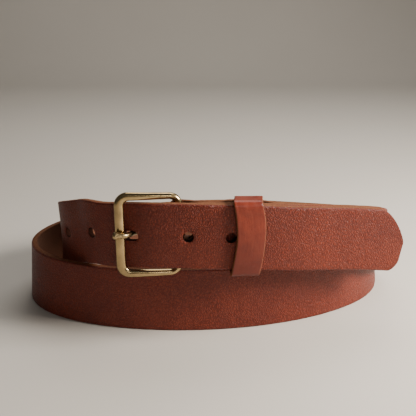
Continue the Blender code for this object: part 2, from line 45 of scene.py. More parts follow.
WIDTH = 35.0
THICK = 3.4
SKIVED = 2.2
TIP_LENGTH = 11.5
TIP_SKEW = 0.36
TIP_SKEW_REACH = 42.0

OVAL_A = 102.5
OVAL_B = 55.2
OVAL_TURN = math.radians(6.1)
ARC_X = -5.5
ARC_Y = 69.4
ARC_R = 138.0

# Free end and front of the outer layer: x, y, height of lower edge, from the tip to the left.
OUTER_FRONT = (
    (106.4, -40.2, 27.4),
    (88.0, -45.9, 30.9),
    (66.0, -52.8, 34.2),
    (44.0, -59.3, 36.8),
    (22.0, -64.2, 39.5),
    (0.0, -66.8, 40.9),
    (-15.7, -66.5, 41.2),
    (-30.4, -64.7, 40.7),
    (-41.4, -60.8, 39.5),
    (-52.0, -56.5, 38.1),
    (-60.1, -50.8, 37.2),
    (-66.2, -43.3, 34.5),
    (-73.5, -35.4, 31.0),
    (-79.5, -27.2, 27.6),
)
# Round the oval, clockwise from the left: degrees, offset outward, height of lower edge, lean.
ROUND_THE_OVAL = (
    (-163, -17.2, 23.2, 2),
    (-182, -22.0, 18.8, 1),
    (-202, -19.4, 13.8, 1),
    (-225, -12.9, 7.2, 1),
    (-250, -7.0, 2.0, 1),
    (-270, -4.8, 0.0, 0),
    (-292, -4.6, 0.0, 0),
    (-315, -4.4, 0.0, -1),
    (-340, -2.4, 0.0, -4),
    (-360, 0.0, 0.0, -5),
    (-380, 0.0, 0.0, -5),
    (-405, 0.0, 0.0, -4),
    (-430, 0.0, 0.0, -4),
    (-450, 0.0, 0.0, -4),
    (-475, 0.4, 0.0, -3),
    (-500, 1.6, 0.0, -2),
    (-520, 1.7, 0.0, -3),
    (-540, 0.7, 0.0, -5),
    (-560, 0.0, 0.0, -5),
    (-585, 0.0, 0.0, -3),
    (-610, 0.0, 0.0, -1),
    (-630, 0.0, 0.0, 0),
    (-652, 0.2, 0.0, -1),
    (-675, 1.2, 0.9, -3),
    (-698, 3.0, 3.8, -5),
    (-720, 4.3, 8.4, -5),
    (-738, 6.0, 16.0, -3),
    (-753, 7.9, 24.0, -1),
)
# Inner front layer: distance along the arc, depth of mid-thickness, height of lower edge.
INNER_FRONT = (
    (72.0, 6.9, 32.2),
    (62.0, 6.4, 34.1),
    (52.0, 6.3, 35.8),
    (40.5, 6.3, 37.3),
    (27.6, 6.3, 38.7),
    (14.7, 6.3, 39.6),
    (3.7, 6.1, 40.0),
    (-3.7, 5.3, 40.0),
    (-7.4, 4.95, 39.9),
)
HEEL_AT = -9.2
HEEL_DEPTH = 8.15
HEEL_R = 1.9
FOLD_R = 3.25
FLAP = (
    (-9.2, 11.4),
    (1.8, 9.5),
    (11.0, 9.5),
    (19.8, 12.1),
    (36.4, 12.1),
    (45.6, 9.5),
    (60.0, 9.5),
)
SKIVE_FROM = 14.0
SKIVE_TO = 3.7

HOLE_R = 2.65
HOLE_DIP = 0.42  # how far the faces are pulled in at a hole's rim, and over what distance it fades
HOLE_DIP_REACH = 0.75
HOLE_DIP_END = 3.0
HOLE_WALL = 0.3  # a face within this of a hole's outline is its wall
PUNCH_FLARE = (  # depth from mid-thickness, widening: the rim is rounded over at both faces
    (-THICK / 2 - 1, 0.35),
    (-THICK / 2, 0.2),
    (0.4 - THICK / 2, 0.0),
    (THICK / 2 - 0.7, 0.0),
    (THICK / 2 - 0.3, 0.12),
    (THICK / 2, 0.45),
    (THICK / 2 + 1, 0.9),
)
HOLES_AT = (-49.8, -24.4, 0.0, 29.4, 51.0)  # from the tongue's hole towards the tip, unevenly punched
TONGUE_HOLE_X = -38.0
TONGUE_HOLE_LENGTH = 7.9
SLOT_HEIGHT = 5.2
SLOT_PAST_HEEL = 7.4
SCREWS_AT = (6.4, 50.9)
SCREW_HOLE_R = 2.3

BUCKLE_Z = 58.0
FRONT_BAR = (-43.9, -64.4)
BAR_WIDE = 5.0
BAR_DEEP = 3.7
SIDE_THICK = 4.6
SIDE_TAPER = 1.4
FRAME_HEIGHT = 46.6
FRAME_CORNER = 5.0
FRAME_CORNER_STEPS = 14
FRAME_SIDE_STEPS = 16
SIDE_SQUARENESS = 0.95
FRAME_BOW = 0.4
FRAME_DROP = 0.8
TONGUE_R = 1.45
TONGUE_END_R = 1.95
TONGUE_RING_R = 2.15
TONGUE_RING_OUT = 3.15
TONGUE_RING_HALF = 1.75
TONGUE_RING_STEPS = 56
TONGUE_START = (-2.2, 0.1)  # from the heel bar's middle
TONGUE_LINE = (  # x, y, rise, radius: from the heel bar, through the hole and over the front bar
    (-20.3, -60.1, 0.1, TONGUE_R),
    (-26.5, -59.6, 0.2, TONGUE_R),
    (-31.5, -59.1, 0.3, TONGUE_R),
    (-35.0, -59.5, 0.4, TONGUE_R),
    (-37.2, -61.3, 0.5, TONGUE_R),
    (-38.7, -63.7, 0.6, TONGUE_R),
    (-40.1, -66.2, 0.9, TONGUE_R),
    (-42.0, -67.8, 1.3, 1.5),
    (-44.3, -68.4, 1.6, 1.7),
    (-46.2, -68.6, 1.7, TONGUE_END_R),
    (-46.9, -68.6, 1.7, TONGUE_END_R - 0.4),
)

KEEPER_AT = 27.8
KEEPER_WIDE = 15.0
KEEPER_THICK = 1.7
KEEPER_CREASES = (  # height, depth, width
    (2.2, 0.10, 0.30),
    (3.4, 0.18, 0.35),
    (4.8, 0.22, 0.30),
    (6.3, 0.14, 0.30),
    (8.2, 0.10, 0.40),
    (11.0, 0.06, 0.40),
    (30.5, 0.08, 0.50),
)
KEEPER_FRONT = -1.35
KEEPER_BACK = 9.4
KEEPER_ABOVE = 1.95
KEEPER_BELOW = 2.6
KEEPER_CORNER = 2.4
KEEPER_TILT = math.radians(3.5)
KEEPER_ROUND = 0.55  # radius of its long edges
KEEPER_EDGE = 0.5  # a face within this of its sides is cut edge
KEEPER_CORNER_STEPS = 8
KEEPER_SHORT_STEPS = 8
KEEPER_TALL_STEPS = 40
KEEPER_SHIFT = -1.3  # its front stands to the left of its back, least at mid-height and most at the top
KEEPER_BOW = 1.2
KEEPER_TOP_LEAN = -1.3
KEEPER_WAVER = 0.25
KEEPER_BELLY = 0.5  # its front stands proud at mid-height, and along its middle
KEEPER_CROWN = 0.18
INNER_DROP = 0.8

# Fineness of the path, and the fine surface.
COIL_POINTS = 1400
FOLD_POINTS = 40
FLAP_POINTS = 140
GRAIN_ROUND = 0.95  # the grain side's edge is rounded over more than the flesh side's
FLESH_ROUND = 0.4
EDGE_FUZZ = 0.09
EDGE_DEPTH = 0.5  # how far in from the edges and the faces the leather is uneven
WAVE_SHARE = 0.03
FRONT_ROW = 0.9  # greatest spacing of the strap's cross-sections, and greatest turn between them
BACK_ROW = 2.6
ROW_TURN = math.radians(1.6)
FRONT_LENGTH = 220.0  # of the outer layer, and the stretch before the heel bar, with the closer spacing
HEEL_STRETCH = 30.0
ACROSS_STEPS = 24
TIP_STEPS = 18
BAR_STEPS = 28  # points round the frame's and the tongue's sections
TONGUE_VOXEL = 0.16
GRAIN_FACING = 0.35  # a face of the flat strap that points up more than this shows grain
FLESH_FACING = -0.6
GRAIN, EDGE, FLESH, PUNCHED = range(4)  # the strap's material slots
SEAM_AT = 27.0  # distance along the arc where the free end's mesh meets the coil's, under the keeper

# Camera: the view across the front of the coil, from a little above.
LOOK_AT = (0.65, 0.0, 49.5)
VIEW_DISTANCE = 414.5
VIEW_DOWN = math.radians(20)
LENS = 60.0
SENSOR = 36.0

# Floor, rising in a curve behind the belt.
FLOOR_HALF = 1500.0
FLOOR_BACK = 700.0
FLOOR_CURVE = 300.0
FLOOR_STEPS = 24
FLOOR_RISE = 900.0

# Lights: name, place, target, size, power in watts, colour.
LIGHTS = (
    ("key", (460, -120, 290), (0, -40, 40), (200, 160), 7.4, (1.0, 0.93, 0.85)),
    ("sky", (80, 300, 620), (0, 40, 0), (500, 400), 2.4, (1.0, 0.97, 0.93)),
    ("front", (200, -620, 260), (0, 0, 40), (160, 160), 0.5, (1.0, 0.96, 0.92)),
)
WORLD_COLOUR = (0.92, 0.9, 0.87, 1.0)
WORLD_STRENGTH = 0.085


# ---------------------------------------------------------------- path of the strap


def on_oval(degrees, out):
    """Point this far outside the coil's turned oval."""
    angle = math.radians(degrees)
    point = np.array([OVAL_A * math.cos(angle), OVAL_B * math.sin(angle)])
    normal = np.array([math.cos(angle) / OVAL_A, math.sin(angle) / OVAL_B])
    point = point + normal / np.linalg.norm(normal) * out
    c, s = math.cos(OVAL_TURN), math.sin(OVAL_TURN)
    return c * point[0] - s * point[1], s * point[0] + c * point[1]


def on_arc(along, depth):
    """Point behind the arc that the belt's front follows."""
    angle = along / ARC_R
    radius = ARC_R - depth
    return ARC_X + radius * math.sin(angle), ARC_Y - radius * math.cos(angle)


def cubic(knots, values, at):
    """Natural cubic spline through the values."""
    count = len(knots)
    step = np.diff(knots)
    rows = np.zeros((count, count))
    right = np.zeros_like(values)
    rows[0, 0] = rows[-1, -1] = 1.0
    for i in range(1, count - 1):
        rows[i, i - 1 : i + 2] = step[i - 1], 2 * (step[i - 1] + step[i]), step[i]
        after = (values[i + 1] - values[i]) / step[i]
        before = (values[i] - values[i - 1]) / step[i - 1]
        right[i] = 6 * (after - before)
    bend = np.linalg.solve(rows, right)
    i = np.clip(np.searchsorted(knots, at) - 1, 0, count - 2)
    h = step[i][:, None]
    t = (at - knots[i])[:, None]
    slope = (values[i + 1] - values[i]) / h - h * (2 * bend[i] + bend[i + 1]) / 6
    return values[i] + slope * t + bend[i] / 2 * t**2 + (bend[i + 1] - bend[i]) / (6 * h) * t**3


def eased(table, at):
    """Piecewise value through the table, level at each entry."""
    if at <= table[0][0]:
        return table[0][1]
    for (a, va), (b, vb) in zip(table, table[1:]):
        if at <= b:
            share = (at - a) / (b - a)
            return va + (vb - va) * share * share * (3 - 2 * share)
    return table[-1][1]


def coil_points():
    """Close points along both turns: x, y, height of the lower edge, lean."""
    stations = [(x, y, low, 0.0) for x, y, low in OUTER_FRONT]
    stations += [(*on_oval(deg, out), low, lean) for deg, out, low, lean in ROUND_THE_OVAL]
    stations += [(*on_arc(along, depth), low, 0.0) for along, depth, low in INNER_FRONT]
    stations.append((*on_arc(HEEL_AT, HEEL_DEPTH - FOLD_R), INNER_FRONT[-1][2], 0.0))
    stations = np.array(stations, float)
    knots = np.r_[0, np.cumsum(np.linalg.norm(np.diff(stations[:, :2], axis=0), axis=1))]
    return cubic(knots, stations, np.linspace(0, knots[-1], COIL_POINTS))


def front_height(along):
    """Height of the lower edge of the front layers at this distance along the arc."""
    return float(np.interp(along, *zip(*sorted((a, z) for a, _, z in INNER_FRONT))))


def fold_points():
    """Close points round the heel bar and along the flap behind it."""
    points = []
    for step in range(1, FOLD_POINTS):
        angle = math.pi * step / FOLD_POINTS
        along = HEEL_AT - FOLD_R * math.sin(angle) * ARC_R / (ARC_R - HEEL_DEPTH)
        spot = on_arc(along, HEEL_DEPTH - FOLD_R * math.cos(angle))
        points.append((*spot, INNER_FRONT[-1][2], 0.0))
    for along in np.linspace(HEEL_AT, FLAP[-1][0], FLAP_POINTS):
        points.append((*on_arc(along, eased(FLAP, along)), front_height(along), 0.0))
    return np.array(points)


def build_path():
    """Arrays for the whole strap: length, mid-point, outward and up directions, thickness."""
    coil = coil_points()
    points = np.vstack([coil, fold_points()])
    points[:, 2] = np.maximum(points[:, 2], 0) + WIDTH / 2
    middle = points[:, :3]
    length = np.r_[0, np.cumsum(np.linalg.norm(np.diff(middle, axis=0), axis=1))]
    ahead = np.gradient(middle, length, axis=0)
    ahead /= np.linalg.norm(ahead, axis=1)[:, None]
    out = np.cross([0, 0, 1], ahead)
    out /= np.linalg.norm(out, axis=1)[:, None]
    up = np.cross(ahead, out) + out * np.tan(np.radians(points[:, 3]))[:, None]
    heel = length[len(coil) - 1]
    thick = np.interp(length, [heel - SKIVE_FROM, heel - SKIVE_TO], [THICK, SKIVED])
    return {"length": length, "middle": middle, "out": out, "up": up, "thick": thick, "heel": heel}


PATH = build_path()
END = float(PATH["length"][-1])
HEEL = float(PATH["heel"])
FLAP_START = HEEL + math.pi * FOLD_R


def at_length(name, length):
    return np.stack([np.interp(length, PATH["length"], PATH[name][:, i]) for i in range(3)], -1)


def bent(flat):
    """Points (length, height, share of thickness x THICK) of the flat strap, put on the path."""
    length, up, out = flat[:, 0], flat[:, 1], flat[:, 2]
    share = np.interp(length, PATH["length"], PATH["thick"]) / THICK
    return (
        at_length("middle", length)
        + at_length("up", length) * up[:, None]
        + at_length("out", length) * (out * share)[:, None]
    )


def along_arc():
    """Distance along the front's arc of each point of the path."""
    x, y = PATH["middle"][:, 0], PATH["middle"][:, 1]
    return np.arctan2(x - ARC_X, ARC_Y - y) * ARC_R


def length_where(value, values, first, last):
    """Length along the strap, between first and last, at which the values reach this value."""
    inside = (PATH["length"] >= first) & (PATH["length"] <= last)
    lengths, values = PATH["length"][inside], values[inside]
    order = np.argsort(values)
    return float(np.interp(value, values[order], lengths[order]))


TONGUE_HOLE = length_where(TONGUE_HOLE_X, PATH["middle"][:, 0], 0, 200)
SEAM = length_where(SEAM_AT, along_arc(), 0, 200)


# ---------------------------------------------------------------- material nodes


class Look:
    """A Principled material with short calls for the nodes that feed it."""

    def __init__(self, name):
        self.material = bpy.data.materials.new(name)
        self.material.use_nodes = True
        self.tree = self.material.node_tree
        self.shader = self.tree.nodes["Principled BSDF"]

    def put(self, socket, value):
        if isinstance(value, bpy.types.NodeSocket):
            self.tree.links.new(value, socket)
        elif isinstance(value, tuple) and len(value) == 3 and socket.type == "RGBA":
            socket.default_value = (*value, 1.0)
        else:
            socket.default_value = value

    def node(self, kind, inputs=(), **settings):
        made = self.tree.nodes.new(kind)
        for key, value in settings.items():
            setattr(made, key, value)
        for key, value in dict(inputs).items():
            self.put(made.inputs[key], value)
        return made

    def flat(self):
        """The point's place on the flat strap: length, height, thickness, in millimetres."""
        return self.node("ShaderNodeAttribute", attribute_name="flat").outputs["Vector"]

    def stretched(self, vector, scale, turn=(0, 0, 0)):
        inputs = {"Vector": vector, "Scale": scale, "Rotation": turn}
        return self.node("ShaderNodeMapping", inputs).outputs["Vector"]

    def noise(self, vector, scale, detail=3.0, roughness=0.55):
        inputs = {"Vector": vector, "Scale": scale, "Detail": detail, "Roughness": roughness}
        return self.node("ShaderNodeTexNoise", inputs).outputs["Fac"]

    def cells(self, vector, scale, feature="F1"):
        inputs = {"Vector": vector, "Scale": scale}
        return self.node("ShaderNodeTexVoronoi", inputs, feature=feature).outputs["Distance"]

    def ramp(self, value, low, high, start=0.0, end=1.0):
        inputs = {"Value": value, 1: low, 2: high, 3: start, 4: end}
        return self.node("ShaderNodeMapRange", inputs, clamp=True).outputs["Result"]

    def mix(self, share, a, b):
        made = self.tree.nodes.new("ShaderNodeMix")
        made.data_type = "RGBA"
        for index, value in ((0, share), (6, a), (7, b)):
            self.put(made.inputs[index], value)
        return made.outputs[2]

    def bump(self, height, depth, strength=1.0, under=None):
        """Bump of this depth in millimetres."""
        inputs = {"Height": height, "Distance": depth * MM, "Strength": strength}
        if under is not None:
            inputs["Normal"] = under
        return self.node("ShaderNodeBump", inputs).outputs["Normal"]

    def finish(self, **values):
        for key, value in values.items():
            self.put(self.shader.inputs[key.replace("_", " ")], value)
        return self.material


def jittered(look, vector, scale, amount):
    """The vector pushed about by noise, so that cells lose their straight sides."""
    inputs = {"Vector": vector, "Scale": scale, "Detail": 2.0}
    push = look.node("ShaderNodeTexNoise", inputs).outputs["Color"]
    scaled = look.node(
        "ShaderNodeVectorMath", {0: push, 1: (amount, amount, amount)}, operation="MULTIPLY"
    ).outputs["Vector"]
    return look.node("ShaderNodeVectorMath", {0: vector, 1: scaled}, operation="ADD").outputs["Vector"]


def pebbled_leather():
    """Full-grain leather: soft upright pebbles divided by creases, with painted shade darkening the
    creases.
    """
    look = Look("leather_grain")
    flat = look.flat()
    pushed = jittered(look, flat, 0.5, 1.5)
    upright = look.stretched(pushed, (1.0, 0.6, 0.85), (0, 0, math.radians(-14)))
    pebble = look.cells(upright, 1.05, "DISTANCE_TO_EDGE")
    crease = look.ramp(pebble, 0.0, 0.30)
    fine = look.cells(look.stretched(pushed, (1.2, 0.9, 1.0)), 2.0)
    broad = look.noise(flat, 0.03, 3)
    patch = look.noise(flat, 0.3, 4)
    tone = look.mix(look.ramp(broad, 0.3, 0.7), (0.135, 0.0160, 0.0062), (0.210, 0.029, 0.0105))
    tone = look.mix(look.ramp(patch, 0.35, 0.75, 0.0, 0.5), tone, (0.23, 0.038, 0.015))
    # Painted shade: the creases are darkened in colour as well as bumped.
    tone = look.mix(look.ramp(crease, 0.0, 0.9, 0.7, 0.0), tone, (0.050, 0.0065, 0.0035))
    normal = look.bump(look.noise(flat, 0.1, 2), 0.5, 0.35)
    normal = look.bump(look.noise(flat, 0.8, 4), 0.14, 0.6, normal)
    normal = look.bump(crease, 0.22, 0.85, normal)
    normal = look.bump(fine, 0.05, 0.6, normal)
    rough = look.ramp(look.noise(flat, 1.3, 3), 0.3, 0.7, 0.38, 0.51)
    return look.finish(
        Base_Color=tone, Roughness=rough, Normal=normal, Specular_IOR_Level=0.32,
    )


def raw_edge():
    """The cut edge: orange-brown fibres, compressed near the grain side."""
    look = Look("leather_edge")
    flat = look.flat()
    fibre = look.noise(look.stretched(flat, (1.0, 1.0, 0.5)), 3.2, 5, 0.7)
    clump = look.noise(flat, 0.9, 3)
    layer = look.node("ShaderNodeSeparateXYZ", {"Vector": flat}).outputs["Z"]
    burnish = look.ramp(layer, 0.6, 1.5)
    tone = look.mix(look.ramp(fibre, 0.3, 0.7), (0.085, 0.026, 0.011), (0.25, 0.085, 0.030))
    tone = look.mix(look.ramp(clump, 0.45, 0.8, 0.0, 0.6), tone, (0.31, 0.125, 0.05))
    tone = look.mix(burnish, tone, (0.10, 0.028, 0.014))
    normal = look.bump(fibre, 0.25, 0.9)
    normal = look.bump(clump, 0.3, 0.6, normal)
    return look.finish(Base_Color=tone, Roughness=0.82, Normal=normal, Specular_IOR_Level=0.3)


def hole_wall_painted_shade():
    """Walls of the punched holes: compressed, and painted near-black as painted shade for the shadow
    inside the holes.
    """
    look = Look("leather_hole")
    fibre = look.noise(look.flat(), 2.5, 4, 0.7)
    # Painted shade: these near-black wall colours stand in for the shadow inside the holes.
    tone = look.mix(look.ramp(fibre, 0.3, 0.7), (0.008, 0.003, 0.002), (0.028, 0.009, 0.005))
    normal = look.bump(fibre, 0.1, 0.8)
    return look.finish(Base_Color=tone, Roughness=0.9, Normal=normal, Specular_IOR_Level=0.05)


def flesh_side():
    """The back of the leather: matt, with a short nap."""
    look = Look("leather_flesh")
    flat = look.flat()
    nap = look.noise(look.stretched(flat, (0.8, 1.2, 1.0)), 2.6, 6, 0.7)
    patch = look.noise(flat, 0.12, 3)
    tone = look.mix(look.ramp(nap, 0.3, 0.7), (0.075, 0.026, 0.014), (0.16, 0.062, 0.034))
    tone = look.mix(look.ramp(patch, 0.3, 0.7, 0.0, 0.4), tone, (0.11, 0.04, 0.022))
    return look.finish(
        Base_Color=tone, Roughness=0.93, Normal=look.bump(nap, 0.2, 0.8), Specular_IOR_Level=0.2,
        Sheen_Weight=0.25, Sheen_Roughness=0.6, Sheen_Tint=(0.5, 0.3, 0.2),
    )


def smooth_leather():
    """The keeper's leather: smooth, with fine pores and a soft shine; painted shade darkens the pores and
    the lower part of its front.
    """
    look = Look("leather_keeper")
    flat = look.flat()
    pore = look.cells(flat, 1.1)
    dot = look.ramp(pore, 0.05, 0.28)
    streak = look.noise(look.stretched(flat, (0.12, 1.0, 1.0)), 0.9, 4)
    patch = look.ramp(look.noise(flat, 0.14, 3), 0.3, 0.7)
    tone = look.mix(patch, (0.125, 0.014, 0.0055), (0.20, 0.027, 0.0105))
    tone = look.mix(look.ramp(streak, 0.45, 0.75, 0.0, 0.5), tone, (0.235, 0.042, 0.018))
    # Painted shade: the pores are darkened in colour as well as bumped in.
    tone = look.mix(look.ramp(dot, 0.0, 1.0, 0.6, 0.0), tone, (0.05, 0.008, 0.004))
    # Painted shade: the front's colour is darkened towards its bottom, which faces away from the light.
    travelled = look.node("ShaderNodeSeparateXYZ", {"Vector": flat}).outputs["X"]
    tone = look.mix(look.ramp(travelled, 26.0, 46.0, 0.0, 0.75), tone, (0.085, 0.0095, 0.004))
    normal = look.bump(look.noise(flat, 0.35, 3), 0.22, 0.6)
    normal = look.bump(dot, 0.05, 0.7, normal)
    normal = look.bump(streak, 0.07, 0.6, normal)
    return look.finish(
        Base_Color=tone, Roughness=look.ramp(streak, 0.3, 0.7, 0.30, 0.42), Normal=normal,
        Specular_IOR_Level=0.38,
    )


def brass(name, colour, dark, rough):
    """Satin brass with brushed scratches, a little tarnish and rubbed brighter high spots."""
    look = Look(name)
    place = look.node("ShaderNodeTexCoord").outputs["Object"]
    scratch = look.noise(look.stretched(place, (400, 400, 9000)), 1.0, 4, 0.6)
    cloud = look.noise(look.stretched(place, (90, 90, 90)), 1.0, 5, 0.6)
    spot = look.noise(look.stretched(place, (900, 900, 900)), 1.0, 3)
    worn = look.node("ShaderNodeNewGeometry").outputs["Pointiness"]
    tone = look.mix(look.ramp(cloud, 0.35, 0.7), dark, colour)
    tone = look.mix(look.ramp(worn, 0.48, 0.56, 0.0, 0.5), tone, (0.74, 0.58, 0.34))
    tone = look.mix(look.ramp(spot, 0.62, 0.72, 0.0, 0.35), tone, dark)
    roughness = look.ramp(cloud, 0.3, 0.7, rough + 0.06, rough - 0.05)
    normal = look.bump(scratch, 0.006, 0.35)
    normal = look.bump(spot, 0.02, 0.25, normal)
    return look.finish(
        Base_Color=tone, Metallic=1.0, Roughness=roughness, Normal=normal, Anisotropic=0.3,
    )


def steel():
    """Plain bright wire."""
    look = Look("staple_steel")
    place = look.node("ShaderNodeTexCoord").outputs["Object"]
    grain = look.noise(look.stretched(place, (900, 900, 900)), 1.0, 3)
    tone = look.mix(look.ramp(grain, 0.3, 0.7), (0.4, 0.4, 0.41), (0.62, 0.62, 0.62))
    return look.finish(Base_Color=tone, Metallic=1.0, Roughness=0.32, Normal=look.bump(grain, 0.02, 0.4))


def floor_look():
    look = Look("floor_pale")
    place = look.node("ShaderNodeTexCoord").outputs["Object"]
    tint = look.mix(look.noise(place, 6.0, 3), (0.60, 0.56, 0.50), (0.64, 0.60, 0.54))
    return look.finish(Base_Color=tint, Roughness=0.75)


# ---------------------------------------------------------------- mesh helpers


def linked(name, data):
    obj = bpy.data.objects.new(name, data)
    bpy.context.scene.collection.objects.link(obj)
    return obj


def shade_smooth(mesh):
    mesh.polygons.foreach_set("use_smooth", [True] * len(mesh.polygons))


def new_object(name, points, faces, materials=(), shift=MIDDLE):
    """Mesh object from points in the drawing's millimetres."""
    mesh = bpy.data.meshes.new(name)
    mesh.from_pydata([tuple((np.array(p) - shift) * MM) for p in points], [], faces)
    for material in materials:
        mesh.materials.append(material)
    work = bmesh.new()
    work.from_mesh(mesh)
    bmesh.ops.recalc_face_normals(work, faces=work.faces)
    turn_out(work)
    work.to_mesh(mesh)
    work.free()
    shade_smooth(mesh)
    return linked(name, mesh)


def turn_out(work):
    """Makes the faces of a closed mesh point outward."""
    if work.calc_volume(signed=True) < 0:
        bmesh.ops.reverse_faces(work, faces=work.faces)


def swept(sections, closed=False):
    """Points and faces of a tube through sections that each hold the same number of points."""
    rows, count = len(sections), len(sections[0])
    points = [p for section in sections for p in section]
    faces = []
    for row in range(rows if closed else rows - 1):
        here, there = row * count, (row + 1) % rows * count
        for i in range(count):
            j = (i + 1) % count
            faces.append((here + i, here + j, there + j, there + i))
    if not closed:
        faces.append(tuple(range(count)))
        faces.append(tuple(range((rows - 1) * count, rows * count)))
    return points, faces


def joined(shapes):
    """Points and faces of several shapes as one."""
    points, faces = [], []
    for more, their_faces in shapes:
        shift = len(points)
        points += more
        faces += [tuple(i + shift for i in face) for face in their_faces]
    return points, faces


def wear(obj, materials):
    """Gives the object these materials in place of its own."""
    obj.data.materials.clear()
    for material in materials:
        obj.data.materials.append(material)


def apply_modifiers(obj):
    """Replaces the object's mesh by its evaluated one."""
    bpy.context.view_layer.update()
    graph = bpy.context.evaluated_depsgraph_get()
    mesh = bpy.data.meshes.new_from_object(obj.evaluated_get(graph))
    obj.modifiers.clear()
    obj.data = mesh


def boolean(obj, other, operation):
    modifier = obj.modifiers.new(operation.lower(), "BOOLEAN")
    modifier.operation = operation
    modifier.solver = "EXACT"
    modifier.object = other
    apply_modifiers(obj)
    bpy.data.objects.remove(other)


def set_flat(obj, values):
    """Stores each point's place on the flat leather, in millimetres, for the materials."""
    attribute = obj.data.attributes.new("flat", "FLOAT_VECTOR", "POINT")
    attribute.data.foreach_set("vector", np.array(values, np.float32).ravel())


# ---------------------------------------------------------------- strap


def tip_half_width(from_apex):
    """Half the strap's width at this distance from its pointed end."""
    if from_apex >= TIP_LENGTH:
        return WIDTH / 2
    return WIDTH / 2 * (1 - (1 - from_apex / TIP_LENGTH) ** 1.7) ** 0.6


def spread(a, b, count):
    """Even steps from a towards b, without b itself."""
    return [a + (b - a) * i / count for i in range(count)]


def strap_section(half):
    """Outline across the strap: (height, depth) points, rounded over more on the grain side."""
    t = THICK / 2
    g = min(GRAIN_ROUND, half * 0.4)
    f = min(FLESH_ROUND, half * 0.3)
    points = [(up, t) for up in spread(half - g, g - half, ACROSS_STEPS)]
    for i in range(5):
        angle = math.pi / 2 * i / 5
        points.append((g - half - g * math.sin(angle), t - g + g * math.cos(angle)))
    points += [(-half, n) for n in spread(t - g, f - t, 3)]
    for i in range(3):
        angle = math.pi / 2 * i / 3
        points.append((f - half - f * math.cos(angle), f - t - f * math.sin(angle)))
    points += [(up, -t) for up in spread(f - half, half - f, ACROSS_STEPS)]
    for i in range(3):
        angle = math.pi / 2 * i / 3
        points.append((half - f + f * math.sin(angle), f - t - f * math.cos(angle)))
    points += [(half, n) for n in spread(f - t, t - g, 3)]
    for i in range(5):
        angle = math.pi / 2 * i / 5
        points.append((half - g + g * math.cos(angle), t - g + g * math.sin(angle)))
    return points


def roughened(length, up, out, half):
    """Small unevenness of real leather: fibres at the cut edge, long soft waves on the faces."""
    edge = max(0.0, 1 - (half - abs(up)) / EDGE_DEPTH)
    side = math.copysign(1, up)
    if edge > 0:
        fuzz = noise.noise(Vector((length * 1.1, side * 9, out * 0.9)))
        fuzz += 0.6 * noise.noise(Vector((length * 2.7, side * 9, out * 2.1)))
        up -= side * edge * EDGE_FUZZ * (0.6 + fuzz)
    wave = noise.noise(Vector((length * 0.035, up * 0.06, 3.0)))
    return up, out * (1 - WAVE_SHARE * abs(wave))


def from_hole(length, up, hole):
    """Distance from a hole's outline on the flat strap, less than 0 inside it."""
    centre, reach = hole
    return math.hypot(max(0.0, abs(length - centre) - reach), up) - HOLE_R


def near_hole_dip(length, up, out, holes):
    """Depth of a point once both faces are pulled in round a punched hole."""
    if abs(out) < THICK / 2 - EDGE_DEPTH:
        return out
    for hole in holes:
        away = from_hole(length, up, hole)
        if away < HOLE_DIP_END:
            dip = HOLE_DIP * math.exp(-((max(away, 0.0) / HOLE_DIP_REACH) ** 2))
            return out - math.copysign(dip, out)
    return out


def strap_slot(polygon, holes):
    """Material slot of a face of the flat strap."""
    facing, centre = polygon.normal.z, polygon.center / MM
    if facing > GRAIN_FACING and centre.z > 0:
        return GRAIN
    if facing < FLESH_FACING:
        return FLESH
    walls = (from_hole(centre.x, centre.y, hole) < HOLE_WALL for hole in holes)
    return PUNCHED if any(walls) else EDGE


def strap_rows(first, last):
    """Lengths of the cross-sections: close on the front layers and in tight bends."""
    ahead = np.gradient(PATH["middle"], PATH["length"], axis=0)
    turn = np.linalg.norm(np.gradient(ahead, PATH["length"], axis=0), axis=1)
    need = np.maximum(turn / ROW_TURN, 1 / BACK_ROW)
    near = (PATH["length"] < FRONT_LENGTH) | (PATH["length"] > HEEL - HEEL_STRETCH)
    need = np.where(near, np.maximum(need, 1 / FRONT_ROW), need)
    count = np.r_[0, np.cumsum(need[1:] * np.diff(PATH["length"]))]
    start, stop = np.interp([first, last], PATH["length"], count)
    return list(np.interp(np.linspace(start, stop, int(stop - start) + 2), count, PATH["length"]))


def slot_outline(length, height, steps=16):
    """Points round a slot with round ends."""
    radius = height / 2
    reach = max(length / 2 - radius, 0)
    outline = []
    for side in (1, -1):
        for i in range(steps + 1):
            angle = math.pi * (i / steps - 0.5)
            outline.append((side * (reach + radius * math.cos(angle)), side * radius * math.sin(angle)))
    return outline


def hole_cutter(centre, length, radius):
    """A punch through the flat strap."""
    sections = []
    for depth, flare in PUNCH_FLARE:
        outline = slot_outline(length + 2 * flare, 2 * (radius + flare))
        sections.append([(centre[0] + x, centre[1] + y, depth) for x, y in outline])
    return swept(sections)


